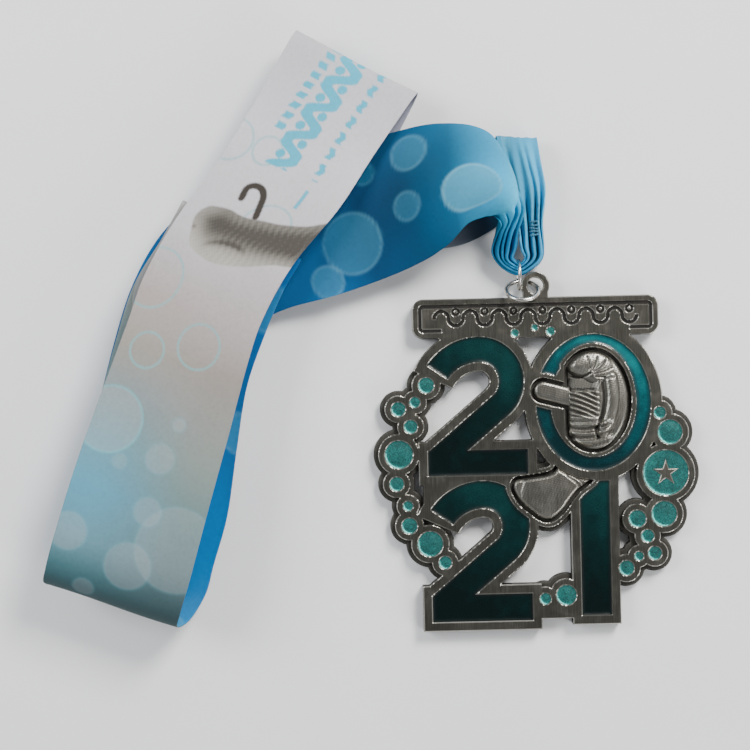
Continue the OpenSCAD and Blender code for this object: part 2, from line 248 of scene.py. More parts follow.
def cutGrid(field, area, step):
    # a grid whose outermost points are moved onto the shape's edge
    left, bottom, right, top = area
    xs = np.arange(left, right + step, step)
    ys = np.arange(bottom, top + step, step)
    x, y = (part.astype(float) for part in np.meshgrid(xs, ys))
    x += 1e-4  # off the straight edges that share the grid's lines
    depth = field(x, y)
    small = step * 0.05
    slopeX = (field(x + small, y) - field(x - small, y)) / (2 * small)
    slopeY = (field(x, y + small) - field(x, y - small)) / (2 * small)
    steep = np.maximum(slopeX ** 2 + slopeY ** 2, 0.05)
    near = (np.abs(depth) < step * 0.6) & (np.hypot(slopeX, slopeY) > 0.3)
    shift = np.clip(np.where(near, depth, 0) / steep, -step, step)
    x = x - shift * slopeX
    y = y - shift * slopeY
    kept = near | (depth < 0)
    inside = depth < 0
    index = np.arange(x.size).reshape(x.shape)
    around = [index[:-1, :-1], index[:-1, 1:], index[1:, 1:], index[1:, :-1]]
    corners = np.stack(around, axis=-1).reshape(-1, 4)
    good = kept.ravel()[corners]
    middleX = x.ravel()[corners].mean(axis=1)
    middleY = y.ravel()[corners].mean(axis=1)
    solid = inside.ravel()[corners].any(axis=1) & (field(middleX, middleY) < small)
    quads = corners[(good.sum(axis=1) == 4) & solid]
    threes = corners[(good.sum(axis=1) == 3)]
    missing = np.argmin(good[good.sum(axis=1) == 3], axis=1)
    triangles = np.array([np.delete(row, gap) for row, gap in zip(threes, missing)], int).reshape(-1, 3)
    if len(triangles):
        cx = x.ravel()[triangles].mean(axis=1)
        cy = y.ravel()[triangles].mean(axis=1)
        triangles = triangles[field(cx, cy) < 0]
    used = np.unique(np.concatenate([quads.ravel(), triangles.ravel()]))
    renumber = np.full(x.size, -1)
    renumber[used] = np.arange(len(used))
    faces = [tuple(row) for kind in (quads, triangles) for row in renumber[kind].tolist()]
    flatX = x.ravel()[used]
    flatY = y.ravel()[used]
    depthNow = np.minimum(np.where(near.ravel()[used], 0, depth.ravel()[used]), 0)
    return flatX, flatY, depthNow, faces


def openEdges(faces):
    # directed edges that only one face uses
    seen = {}
    for face in faces:
        for a, b in zip(face, face[1:] + face[:1]):
            if (b, a) in seen:
                del seen[(b, a)]
            else:
                seen[(a, b)] = True
    return list(seen)


def edgeDistance(x, y, edges):
    # how far each point lies from the plate's real edge
    rim = sorted({corner for edge in edges for corner in edge})
    tree = kdtree.KDTree(len(rim))
    for number, corner in enumerate(rim):
        tree.insert((x[corner], y[corner], 0), number)
    tree.balance()
    return np.array([tree.find((a, b, 0))[2] for a, b in zip(x.tolist(), y.tolist())])


def solidPlate(field, area, step, low, topHeight):
    # a closed solid over a plan shape: its top follows topHeight(x, y, depth) and its foot is flat
    x, y, depth, faces = cutGrid(field, area, step)
    edges = openEdges(faces)
    depth = -edgeDistance(x, y, edges)
    count = len(x)
    isTop = np.r_[np.ones(count), np.zeros(count)]
    upper = np.c_[x, y, topHeight(x, y, depth)]
    lower = np.c_[x, y, np.full(count, low)]
    back = [tuple(corner + count for corner in reversed(face)) for face in faces]
    walls = [(b, a, a + count, b + count) for a, b in edges]
    points = np.vstack([upper, lower])
    return points, faces + back + walls, np.r_[-depth, -depth], isTop


def joined(shells):
    points = []
    faces = []
    extras = [[] for _ in shells[0][2:]]
    start = 0
    for shell in shells:
        points.append(shell[0])
        faces += [tuple(corner + start for corner in face) for face in shell[1]]
        for store, extra in zip(extras, shell[2:]):
            store.append(extra)
        start += len(shell[0])
    return [np.vstack(points), faces] + [np.concatenate(store) for store in extras]


def rounded(high, radius):
    # a flat top whose rim rolls off
    def height(x, y, depth):
        into = np.clip(-depth / radius, 0, 1)
        return high - radius * (1 - np.sqrt(1 - (1 - into) ** 2))
    return height


def show(piece, body, stands):
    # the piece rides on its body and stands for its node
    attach(piece, body)
    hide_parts(*stands)


# the cast metals: flat tops, dark hollows, worn edges that carry a painted highlight and how deep the
# brushing is
castMetal = {"tops": [(0.098, 0.094, 0.078), (0.168, 0.163, 0.138), (0.245, 0.238, 0.205)],
             "hollows": (0.012, 0.0105, 0.009), "edges": (0.7, 0.67, 0.61), "brushed": 0.9}
reliefMetal = {"tops": [(0.15, 0.143, 0.12), (0.25, 0.24, 0.21), (0.4, 0.385, 0.345)],
               "hollows": (0.016, 0.014, 0.012), "edges": (0.8, 0.77, 0.7), "brushed": 0.3}


def antiqueMetal(name, look):
    shader = Shader(name, {"Metallic": 0.92, "IOR": 1.5})
    streaks = shader.noise(shader.place((5200, 130, 900)), 1.0, 4, 0.6)
    fine = shader.noise(shader.place((11000, 420, 4000)), 1.0, 2)
    stains = shader.noise(shader.place(), 190, 4, 0.6)
    grains = shader.noise(shader.place(), 2600, 3, 0.6)
    patina = shader.stored("patina")
    # lighter edges: rubbed wear plus a painted edge highlight
    rim = (1 - shader.stored("fromEdge") * 2.6).clipped(0, 1) * (1 - patina)
    # patina and stains darken the colour here, and so does the painted shadow band stored under the relief's
    # chin
    dirtAndShade = (patina + (stains - 0.5) * 0.55 * (1 - rim) + (grains - 0.5) * 0.25 * patina).clipped(0, 1)
    shade = shader.ramp(streaks * 0.7 + stains * 0.3, list(zip((0.3, 0.55, 0.75), look["tops"])))
    wornAndHighlitEdge = shader.mixed(rim * (0.35 + grains * 0.9).clipped(0, 1), shade, look["edges"])
    colour = shader.mixed(dirtAndShade, wornAndHighlitEdge, look["hollows"])
    brushed = look["brushed"]
    height = streaks * brushed + fine * brushed * 0.5 + grains * (0.12 + patina * 0.6)
    rough = (0.34 + dirtAndShade * 0.42 - rim * 0.12 + (fine - 0.5) * 0.2).clipped(0.14, 0.9)
    metal = (1 - dirtAndShade * 0.55).clipped(0.3, 1)
    normal = shader.bump(height, 0.32, 0.00005)
    return shader.finish({"Base Color": colour, "Roughness": rough, "Metallic": metal, "Normal": normal})


# the smooth enamels, from the deepest tone to the brightest, and how far the tones shift
darkEnamel = {"tones": [(0.0004, 0.0045, 0.0045), (0.0008, 0.0125, 0.0125), (0.0026, 0.034, 0.034)],
              "shift": -0.04}
zeroEnamel = {"tones": [(0.0008, 0.014, 0.017), (0.002, 0.05, 0.058), (0.004, 0.17, 0.18)],
              "shift": -0.04}


def enamel(name, look):
    shader = Shader(name, {"Coat Weight": 0.35, "Coat Roughness": 0.05, "IOR": 1.45,
                           "Specular IOR Level": 0.25})
    cloud = shader.noise(shader.place(), 120, 5, 0.6)
    speck = shader.noise(shader.place(), 3400, 2, 0.7)
    # the enamel is darker and rougher within about a millimetre of its wall
    fromWall = (shader.stored("fromEdge") * 0.9).clipped(0, 1)
    tone = cloud * 0.7 + fromWall * 0.2 + (speck - 0.5) * 0.14 + look["shift"]
    # painted light: the lit side of each fill is made lighter
    tone = (tone + shader.stored("lightSide") * 0.35).clipped(0, 1)
    colour = shader.ramp(tone, list(zip((0.3, 0.6, 0.95), look["tones"])))
    rough = 0.2 + speck * 0.16 + (1 - fromWall) * 0.15
    normal = shader.bump(cloud * 0.7 + speck * 0.08, 0.35, 0.0003)
    return shader.finish({"Base Color": colour, "Roughness": rough, "Normal": normal})


# the glitter enamel's tones, at their places on the ramp; the brightest is the painted highlight on the rims
glitterTones = [(0.15, (0.002, 0.032, 0.032)), (0.42, (0.005, 0.09, 0.083)), (0.68, (0.014, 0.2, 0.18)),
                (0.98, (0.2, 0.8, 0.74))]


def glitterEnamel(name):
    shader = Shader(name, {"Coat Weight": 1.0, "Coat Roughness": 0.03, "IOR": 1.5})
    spot = shader.place()
    flakes = shader.cells(spot, 4200, 1)
    flakeTone = shader.add("SeparateColor", {}, {0: flakes})
    cloud = shader.noise(spot, 260, 4, 0.6)
    # painted highlight: a bright crescent along the lower left of each rim
    rim = shader.stored("rim")
    tone = (flakeTone * 0.34 + cloud * 0.5 + rim * 0.75).clipped(0, 1)
    colour = shader.ramp(tone, glitterTones)
    sparkle = (flakeTone - 0.9).clipped(0, 0.1) * 9
    normal = shader.bump(flakeTone, 0.25, 0.00006)
    links = {"Base Color": colour, "Metallic": 0.25 + sparkle * 0.6, "Roughness": 0.42 - sparkle * 0.25,
             "Normal": normal}
    return shader.finish(links)


# the plated wire, from the hollow tone to the lightest
wireTones = [(0.3, (0.5, 0.48, 0.45)), (0.62, (0.72, 0.69, 0.64)), (0.8, (0.92, 0.9, 0.86))]


def brightNickel(name):
    shader = Shader(name, {"Metallic": 1.0})
    cloud = shader.noise(shader.place(), 420, 4, 0.6)
    drawn = shader.noise(shader.place((900, 5200, 5200)), 1.0, 3)
    colour = shader.ramp(cloud, wireTones)
    rough = 0.16 + drawn * 0.16
    normal = shader.bump(drawn * 0.6 + cloud * 0.4, 0.22, 0.00005)
    return shader.finish({"Base Color": colour, "Roughness": rough, "Normal": normal})


nickel = antiqueMetal("antiqueNickel", castMetal)
silver = antiqueMetal("antiqueSilver", reliefMetal)
darkTeal = enamel("darkTealEnamel", darkEnamel)
brightTeal = enamel("tealEnamel", zeroEnamel)
glitter = glitterEnamel("glitterEnamel")
ringNickel = brightNickel("brightNickel")
print("metals and enamels ready")

# the casting, in mm in the frame of the CAD
casting = {"high": 4.4, "floor": 2.6, "border": 2.6, "zeroBorder": 3.2, "rim": 1.9, "ledge": 1.3,
           "groove": 0.9, "reliefRim": 1.3, "upperStroke": 6.8, "lowerStroke": 7.4, "edgeRound": 0.28,
           "gridStep": 0.2, "tab": (1.1, 48.2), "tabSize": 3.9, "tabHole": 2.2, "badge": 15,
           "fillGap": 0.02}
wreath = [(-29.6, 21.4, 2.1), (-32.8, 16.8, 1.4), (-37.4, 15.0, 1.9), (-34.1, 10.1, 1.8),
          (-37.5, 2.5, 3.8), (-38.3, -5.6, 1.9), (-35.3, -11.7, 1.3), (-35.0, -17.2, 2.1),
          (-29.4, -22.3, 3.4), (-25.4, -27.5, 1.7), (2.0, -38.1, 1.5), (7.8, -37.2, 2.7),
          (34.6, 12.5, 1.6), (37.3, 7.1, 3.3), (35.9, -4.1, 6.2), (35.2, -15.4, 3.4),
          (27.8, -16.6, 2.3), (30.5, -21.4, 1.7), (32.4, -26.2, 1.8), (28.0, -26.9, 1.2),
          (24.5, -30.1, 2.0)]
dots = [(-4.8, 35.3, 1.0), (0.7, 36.7, 0.8), (5.0, 35.6, 1.1)]
star = {"centre": (35.9, -4.1), "reach": 4.1, "high": 4.38}
zeroSpot = (16.4, 15.75)
trunkSpot = (16.4, 16.4)
tailPoints = [[8, 1], [5, -3.4], [-1.9, -4.8], [-5.3, -5.3], [-6.1, -7.4], [-4.2, -11.1], [-1, -14],
              [1.8, -15.9], [4.4, -16], [7.4, -13.5], [9.2, -11], [11.8, -8], [15.6, -4.8], [16, 0]]
tailOutline = throughPoints(tailPoints, 4)


def upperTwo(x, y, stroke, grow):
    half = stroke / 2 + grow
    foot = -0.2 - half
    turn = math.radians(-49)
    bend = (-14.9 + 8.8 * math.cos(turn), 22.2 + 8.8 * math.sin(turn))
    bowl = arcBand(x, y, (-14.9, 22.2), 8.8, half, -50, 91)
    hook = arcBand(x, y, (-14.9, 17.0), 14, half, 89, 145 + 4 * grow)
    slope = bandAlong(x, y, bend, 220, 40, half)
    slope = np.maximum(slope, np.maximum(foot - y, -29.5 - grow - x))
    base = block(x, y, -29.5 - grow, foot, 27.5 + 2 * grow, 2 * half)
    return np.minimum(np.minimum(bowl, hook), np.minimum(slope, base))


def lowerTwo(x, y, grow):
    return upperTwo(x - 0.4, y + 40, casting["lowerStroke"], grow)


def zeroOuter(x, y, grow):
    return oval(x, y, zeroSpot, 15.8 + grow, 18.8 + grow)


def zeroInner(x, y, grow):
    return oval(x, y, zeroSpot, 11.9 + grow, 14.9 + grow)


def numeralOne(x, y, grow):
    return block(x, y, 12.1 - grow, -42.8 - grow, 8.1 + 2 * grow, 36.8 + 2 * grow)


def tailField(x, y, grow):
    return outlineField(x, y, tailOutline) - grow


def flipperField(x, y, grow):
    arm = bandAlong(x, y, (2.7, 19.3), -15.07, 8.08, 2.6 + grow)
    return np.minimum(disc(x, y, (2.7, 19.3, 2.6 + grow)), arm)


def trunkField(x, y, grow):
    return np.maximum(oval(x, y, trunkSpot, 9.6 + grow, 13.6 + grow), 9.5 - grow - x)


def seaCow(x, y, grow):
    tail = np.maximum(tailField(x, y, grow), -zeroOuter(x, y, casting["border"]))
    return np.minimum(np.minimum(trunkField(x, y, grow), flipperField(x, y, grow)), tail)


def roundCells(x, y, cells, grow):
    best = np.full(x.shape, farAway)
    for cell in cells:
        best = np.minimum(best, disc(x, y, (cell[0], cell[1], cell[2] + grow)))
    return best


def nameBar(x, y, grow):
    return block(x, y, -33 - grow, 34.2 - grow, 67.8 + 2 * grow, 10.9 + 2 * grow, max(3 + grow, 0.4))


def reliefTrim(grow):
    return casting["groove"] + casting["reliefRim"] - grow


def raisedPlan(x, y):
    trim = reliefTrim(0)
    best = upperTwo(x, y, casting["upperStroke"], casting["border"])
    parts = [lowerTwo(x, y, casting["border"]), zeroOuter(x, y, casting["zeroBorder"]),
             numeralOne(x, y, casting["border"]), nameBar(x, y, 0), roundCells(x, y, wreath, casting["rim"]),
             roundCells(x, y, dots, 0.9), flipperField(x, y, trim), tailField(x, y, trim),
             block(x, y, -26, 34, 52, 3), block(x, y, -31, -13, 8, 8), block(x, y, -1.5, -43.6, 14, 4)]
    for part in parts:
        best = np.minimum(best, part)
    return best


def lowPlan(x, y):
    ledge = casting["ledge"]
    wide = reliefTrim(-ledge)
    rings = roundCells(x, y, wreath, casting["rim"] + ledge)
    return np.minimum(raisedPlan(x, y), np.minimum(rings, tailField(x, y, wide)))


def cellUpperTwo(x, y, grow):
    stroke = casting["upperStroke"]
    return np.maximum(upperTwo(x, y, stroke, grow), -flipperField(x, y, reliefTrim(grow)))


def cellZero(x, y, grow):
    trim = reliefTrim(grow)
    band = np.maximum(zeroOuter(x, y, grow), -zeroInner(x, y, -grow))
    return np.maximum(band, -np.minimum(flipperField(x, y, trim), trunkField(x, y, trim)))


def cellLowerTwo(x, y, grow):
    return np.maximum(lowerTwo(x, y, grow), -tailField(x, y, reliefTrim(grow)))


def cellOne(x, y, grow):
    return np.maximum(numeralOne(x, y, grow), -tailField(x, y, reliefTrim(grow)))


# the row of waves on the name bar, each with a small ring over its trough
engraving = {"waves": 7, "length": 55.8, "middle": (0.9, 39.65), "half": 0.4, "ringHeight": 41.45,
             "ringRadius": 0.8, "ringHalf": 0.3}


def engravedPlan(x, y):
    line = np.maximum(nameBar(x, y, -1.7), -nameBar(x, y, -2.5))
    line = np.maximum(line, -block(x, y, -25.1, 28.75, 52, 10.9))
    middle, level = engraving["middle"]
    half = engraving["half"]
    pitch = engraving["length"] / engraving["waves"]
    for number in range(engraving["waves"]):
        left = middle + pitch * (number - 3.25)
        right = left + pitch / 2
        for turn in (0, 90):
            crest = arcBand(x, y, (left, level), pitch / 4, half, turn - 1, turn + 91)
            trough = arcBand(x, y, (right, level), pitch / 4, half, turn + 179, turn + 271)
            line = np.minimum(line, np.minimum(crest, trough))
        away = np.hypot(x - right, y - engraving["ringHeight"])
        line = np.minimum(line, np.abs(away - engraving["ringRadius"]) - engraving["ringHalf"])
    return line


def cutTop(x, y):
    cells = [cellUpperTwo(x, y, 0), cellZero(x, y, 0), cellLowerTwo(x, y, 0), cellOne(x, y, 0),
             roundCells(x, y, wreath + dots, 0), seaCow(x, y, casting["groove"]), engravedPlan(x, y)]
    solid = raisedPlan(x, y)
    for cell in cells:
        solid = np.maximum(solid, -cell)
    return solid


def castingShell(field, area, step, low, high, radius, patinaTop):
    points, faces, fromEdge, isTop = solidPlate(field, area, step, low, rounded(high, radius))
    patina = np.where(isTop > 0, patinaTop + ease(high - 0.02 - points[:, 2], 0, 0.5) * 0.4, 1.0)
    return [points, faces, np.where(isTop > 0, fromEdge, 3.0), np.clip(patina, 0, 1)]


def starPlan(x, y):
    # five points, folded onto one
    u = x - star["centre"][0]
    v = y - star["centre"][1]
    share = math.pi / 5
    angle = np.mod(np.arctan2(v, u) - math.pi / 2 + share, 2 * share) - share
    size = np.hypot(u, v)
    lean = math.radians(18)
    along = size * np.cos(np.abs(angle))
    aside = size * np.sin(np.abs(angle))
    return along * math.sin(lean) + aside * math.cos(lean) - star["reach"] * math.sin(lean)


def tabPlan(x, y):
    neck = block(x, y, -2.4, 44.4, 7.0, 2.8)
    plate = np.minimum(disc(x, y, (*casting["tab"], casting["tabSize"])), neck)
    return np.maximum(plate, -disc(x, y, (*casting["tab"], casting["tabHole"])))


def barPanel(x, y):
    return nameBar(x, y, -1)


def buildCasting():
    step = casting["gridStep"]
    area = (-45, -47, 46, 47)
    high = casting["high"]
    floor = casting["floor"]
    shells = [castingShell(lowPlan, area, step * 1.4, 0.0, floor, 0.25, 0.72),
              castingShell(cutTop, area, step, floor - 0.1, high, casting["edgeRound"], 0.0),
              castingShell(tabPlan, (-4, 39, 6, 53), 0.15, 3.0, high, 0.25, 0.05),
              castingShell(barPanel, area, 0.8, 3.0, high - 0.5, 0.1, 1.0),
              castingShell(starPlan, (31, -9, 41, 1), 0.12, 3.2, star["high"], 0.5, 0.1)]
    points, faces, fromEdge, patina = joined(shells)
    piece = addPiece("castMedal", points, faces, nickel, 38, {"fromEdge": fromEdge, "patina": patina})
    show(piece, "medal", ["medal_body"])
    print("casting", len(faces), "faces")


# the smooth fills: level, rise at the wall, and foot
fillCut = {"level": 3.7, "rise": 0.22, "foot": 2.62, "gridStep": 0.25}
fills = [("fillUpperTwo", "enamel_upper_two", cellUpperTwo, (-33, -5, 1, 36), darkTeal, "dark_teal_enamel"),
         ("fillZero", "enamel_zero", cellZero, (-1, -5, 34, 36), brightTeal, "teal_enamel"),
         ("fillLowerTwo", "enamel_lower_two", cellLowerTwo, (-33, -46, 2, -4), darkTeal, "dark_teal_enamel"),
         ("fillOne", "enamel_one", cellOne, (10, -45, 22, -4), darkTeal, "dark_teal_enamel")]


def buildFill(name, node, field, area, material, finish):
    def inside(x, y):
        return field(x, y, -casting["fillGap"])

    def filled(x, y, depth):
        ripple = 0.03 * np.sin(x * 0.9) * np.cos(y * 0.7)
        return fillCut["level"] + fillCut["rise"] * np.exp(depth / 0.45) - ripple

    points, faces, fromEdge, isTop = solidPlate(inside, area, fillCut["gridStep"], fillCut["foot"], filled)
    middle = points[:, :2].mean(axis=0)
    reach = np.abs(points[:, :2] - middle).max()
    # painted light: each fill is lighter towards its top and right
    lightSide = ((points[:, 0] - middle[0]) * 0.5 + (points[:, 1] - middle[1]) * 0.85) / reach
    piece = addPiece(name, points, faces, material, 50, {"fromEdge": fromEdge, "lightSide": lightSide})
    show(piece, "medal", [node])


# the round fills: level at the wall, dome of the widest, and foot
bubbleCut = {"level": 4.0, "dome": 0.3, "badgeDome": 0.1, "foot": 2.62, "rings": 15, "sides": 56}


def buildBubble(number, cell):
    centreX, centreY, radius = cell
    radius = radius - casting["fillGap"]
    steps = np.linspace(0.04, 1, bubbleCut["rings"])
    count = bubbleCut["sides"]
    turns = np.arange(count) * 2 * math.pi / count
    lift = bubbleCut["dome"] * min(radius / 3, 1)
    if number == casting["badge"]:
        lift = bubbleCut["badgeDome"]
    points = [[centreX, centreY, bubbleCut["level"] + lift]]
    rim = [0.0]
    for share in steps:
        meniscus = 0.16 * math.exp((share - 1) * radius / 0.22)
        z = bubbleCut["level"] + lift * (1 - share ** 2) + meniscus
        reach = radius * share
        for turn in turns:
            points.append([centreX + reach * math.cos(turn), centreY + reach * math.sin(turn), z])
            away = radius * (1 - share)
            # painted highlight along the rim, strongest on the lower left side
            side = max(0.12, math.cos(turn - math.radians(225))) ** 1.3
            rim.append(math.exp(-(away / 0.42) ** 2) * side)
    for turn in turns:
        x = centreX + radius * math.cos(turn)
        y = centreY + radius * math.sin(turn)
        points.append([x, y, bubbleCut["foot"]])
        rim.append(0.4)
    faces = [(0, 1 + k, 1 + (k + 1) % count) for k in range(count)]
    for ring in range(len(steps)):
        start = 1 + ring * count
        for k in range(count):
            after = (k + 1) % count
            faces.append((start + k, start + count + k, start + count + after, start + after))
    last = 1 + len(steps) * count
    faces.append(tuple(last + k for k in reversed(range(count))))
    piece = addPiece("glitter%02d" % number, points, faces, glitter, 50, {"rim": rim})
    show(piece, "medal", ["bubble_%02d" % number])


# the sea cow, raised over the floor of its groove
relief = {"floor": 2.62, "trunk": 2.5, "head": 3.3, "flipper": 1.9, "tail": 2.0, "gridStep": 0.15,
          "roll": 1.1, "eye": (11.2, 28.0)}
faceCreases = [[(16.2, 24.6), (17.2, 26.4), (17.6, 28.2)], [(16.6, 24.2), (18.6, 25.6), (19.9, 27.2)],
               [(16.8, 23.6), (19.2, 24.2), (21.5, 25.2)], [(15.6, 25.2), (15.4, 26.9), (14.9, 28.4)],
               [(17.0, 22.8), (19.3, 22.6), (22.0, 22.6)]]
tailCreases = [[(9.0, -4.4), (11.2, -6.2), (12.6, -7.9)], [(10.6, -4.2), (12.4, -5.8), (13.4, -7.1)]]
mouthLine = [(9.6, 23.4), (11.6, 22.8), (13.8, 22.9), (15.6, 23.9)]
armLine = [(21.2, 22.5), (21.6, 17), (20.6, 11.5), (18.6, 7.6)]
armpitLine = [(18.9, 21.5), (19.3, 17), (18.5, 12), (16.9, 8.0), (17.6, 6.2)]


def groove(x, y, points, width):
    return np.exp(-(strokeField(x, y, throughPoints(points, 5, False)) / width) ** 2)


def mound(x, y, spot, halfWidth, halfHeight, turn):
    a = math.radians(turn)
    u = (x - spot[0]) * math.cos(a) + (y - spot[1]) * math.sin(a)
    v = (y - spot[1]) * math.cos(a) - (x - spot[0]) * math.sin(a)
    return np.sqrt(np.clip(1 - (u / halfWidth) ** 2 - (v / halfHeight) ** 2, 0, 1))


def trunkHeight(x, y):
    # the belly's folds, finer above and broader below, and the near arm
    body = 1.1 + relief["trunk"] * 0.75 * mound(x, y, (19, 14.5), 10.5, 14.5, 5)
    body = body - 0.95 * ease(y, 18.6, 19.6) * (1 - ease(y, 22.2, 23.2)) * (1 - ease(x, 15.5, 18.5))
    side = x - 9.5
    upper = ease(y, 11.3, 12.2) * (1 - ease(y, 18.4, 19.3)) * (1 - ease(x, 16.6, 18.2))
    body = body + 0.34 * upper * np.sin(2 * math.pi * (y + 0.26 * side + 0.02 * side ** 2) / 1.42)
    lower = (1 - ease(y, 10.4, 11.4)) * (1 - ease(x, 19.5, 22))
    body = body + 0.4 * lower * np.sin(2 * math.pi * (y + 0.3 * side - 0.035 * side ** 2) / 2.35)
    body = body + 0.5 * mound(x, y, (14.2, 10.9), 5.4, 1.5, -12)
    arm = strokeField(x, y, throughPoints(armLine, 6, False))
    body = body + 1.0 * np.sqrt(np.clip(1 - (arm / 1.75) ** 2, 0, 1))
    return body - 0.7 * groove(x, y, armpitLine, 0.38)


def faceHeight(x, y, body):
    # the head over the trunk, with its cheek, mouth, creases and eye
    muzzle = mound(x, y, (14.0, 26.4), 5.0, 3.9, -14)
    head = np.maximum(muzzle, 0.92 * mound(x, y, (17.5, 25.2), 6.2, 4.6, -35))
    face = 0.9 + (relief["head"] - 0.9) * head
    fade = 1 - ease(y, 22, 24) * (1 - ease(x, 17, 21.5))
    height = np.maximum(body * fade, np.where(head > 0, face, 0))
    height = height + 0.4 * np.exp(-((x - 11.4) / 1.7) ** 2 - ((y - 25.4) / 1.5) ** 2)
    height = height - 0.55 * groove(x, y, mouthLine, 0.32)
    for points in faceCreases:
        height = height - 0.34 * groove(x, y, points, 0.3)
    fromEye = np.hypot(x - relief["eye"][0], y - relief["eye"][1])
    height = height - 0.5 * np.exp(-(fromEye / 0.42) ** 2)
    return height + 0.16 * np.exp(-((fromEye - 0.75) / 0.25) ** 2)


def seaCowHeight(x, y, depth):
    height = faceHeight(x, y, trunkHeight(x, y))
    hand = (flipperField(x, y, 0.0) < 0) & (x < 9.9)
    palm = relief["flipper"] + 0.12 * mound(x, y, (5, 18.7), 6, 2.4, -15)
    height = np.where(hand, palm, height)
    creases = sum(groove(x, y, points, 0.34) for points in tailCreases)
    fan = relief["tail"] + 0.7 * mound(x, y, (6, -7), 11, 8.5, 38) - 0.42 * creases
    height = np.where(y < -1.5, fan, height)
    height = height + 0.03 * np.sin(x * 5.1 + y * 3.3) * np.sin(y * 6.7 - x * 2.2)
    into = np.clip(-depth / relief["roll"], 0, 1)
    return np.maximum(height, 0.5) * (0.45 + 0.55 * np.sqrt(1 - (1 - into) ** 2))


def buildRelief():
    def plan(x, y):
        return seaCow(x, y, 0)

    def top(x, y, depth):
        return relief["floor"] + seaCowHeight(x, y, depth)

    floor = relief["floor"]
    points, faces, fromEdge, isTop = solidPlate(plan, (-7, -17, 27, 31), relief["gridStep"], floor, top)
    x = points[:, 0]
    y = points[:, 1]
    around = np.zeros(len(points))
    # patina gathers where the surface lies under its surroundings
    for turn in range(8):
        a = turn * math.pi / 4
        besideX = x + 0.4 * math.cos(a)
        besideY = y + 0.4 * math.sin(a)
        around += seaCowHeight(besideX, besideY, np.minimum(-fromEdge, -0.01)) / 8
    hollow = np.clip((around - seaCowHeight(x, y, -fromEdge)) * 6, 0, 0.9)
    # painted shadow: a dark band under the chin, added to the patina
    chinShadow = ease(y, 18.6, 19.6) * (1 - ease(y, 22.0, 22.8)) * (1 - ease(x, 16, 18.5)) * ease(x, 9, 9.6)
    low = ease(4.3 - points[:, 2], 0, 1.5) * 0.55 + chinShadow * 0.45
    patina = np.where(isTop > 0, np.clip(hollow + low, 0, 1), 1.0)
    values = {"fromEdge": np.full(len(points), 2.0), "patina": patina}
    piece = addPiece("seaCow", points, faces, silver, 60, values)
    show(piece, "medal", ["sea_cow_relief"])
    print("relief", len(faces), "faces")


buildCasting()
buildRelief()
for fill in fills:
    buildFill(*fill)
for number, cell in enumerate(wreath + dots, 1):
    buildBubble(number, cell)
print("enamels done")


# the rings keep the shape of the CAD
for node in ("medal_ring", "ribbon_ring"):
    nodes[node].data.materials.clear()
    nodes[node].data.materials.append(ringNickel)
print("rings done")



